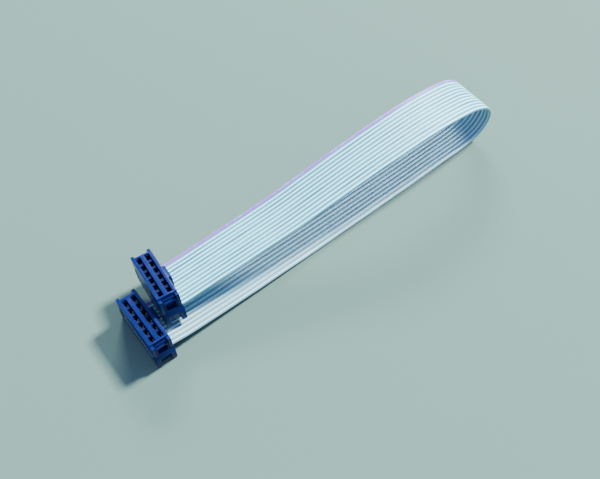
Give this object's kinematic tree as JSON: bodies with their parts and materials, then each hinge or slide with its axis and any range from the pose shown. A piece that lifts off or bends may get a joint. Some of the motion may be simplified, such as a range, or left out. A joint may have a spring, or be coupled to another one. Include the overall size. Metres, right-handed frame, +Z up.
{
  "type": "ribbon cable",
  "caption": "Flat grey ribbon cable looped back on itself, with a keyed blue two-row pin socket pressed on each end.",
  "frame": {"origin": "middle of the lower socket's underside, where it stands on the surface", "axes": "+X along the cable from the sockets to the loop, +Y across it towards the marked edge, +Z up out of the lower socket's mating face"},
  "size_m": [0.1286, 0.026, 0.0212],
  "materials": {
    "pvc_insulation": "semi-gloss pale grey flexible PVC, ribbed",
    "copper_wire": "bare stranded copper; brass stands for the metal",
    "blue_housing": "glossy moulded polyester, blue",
    "blue_cover": "glossy moulded polyester, blue",
    "tinned_contact": "tin-plated phosphor bronze, dull silver"
  },
  "bodies": {
    "root": {"ribbon_insulation": "pvc_insulation", "conductor_01": "copper_wire", "conductor_02": "copper_wire", "conductor_03": "copper_wire", "conductor_04": "copper_wire", "conductor_05": "copper_wire", "conductor_06": "copper_wire", "conductor_07": "copper_wire", "conductor_08": "copper_wire", "conductor_09": "copper_wire", "conductor_10": "copper_wire", "conductor_11": "copper_wire", "conductor_12": "copper_wire", "lower_housing": "blue_housing", "lower_cover": "blue_cover", "lower_contact_01": "tinned_contact", "lower_contact_02": "tinned_contact", "lower_contact_03": "tinned_contact", "lower_contact_04": "tinned_contact", "lower_contact_05": "tinned_contact", "lower_contact_06": "tinned_contact", "lower_contact_07": "tinned_contact", "lower_contact_08": "tinned_contact", "lower_contact_09": "tinned_contact", "lower_contact_10": "tinned_contact", "lower_contact_11": "tinned_contact", "lower_contact_12": "tinned_contact", "upper_housing": "blue_housing", "upper_cover": "blue_cover", "upper_contact_01": "tinned_contact", "upper_contact_02": "tinned_contact", "upper_contact_03": "tinned_contact", "upper_contact_04": "tinned_contact", "upper_contact_05": "tinned_contact", "upper_contact_06": "tinned_contact", "upper_contact_07": "tinned_contact", "upper_contact_08": "tinned_contact", "upper_contact_09": "tinned_contact", "upper_contact_10": "tinned_contact", "upper_contact_11": "tinned_contact", "upper_contact_12": "tinned_contact"}
  },
  "joints": []
}
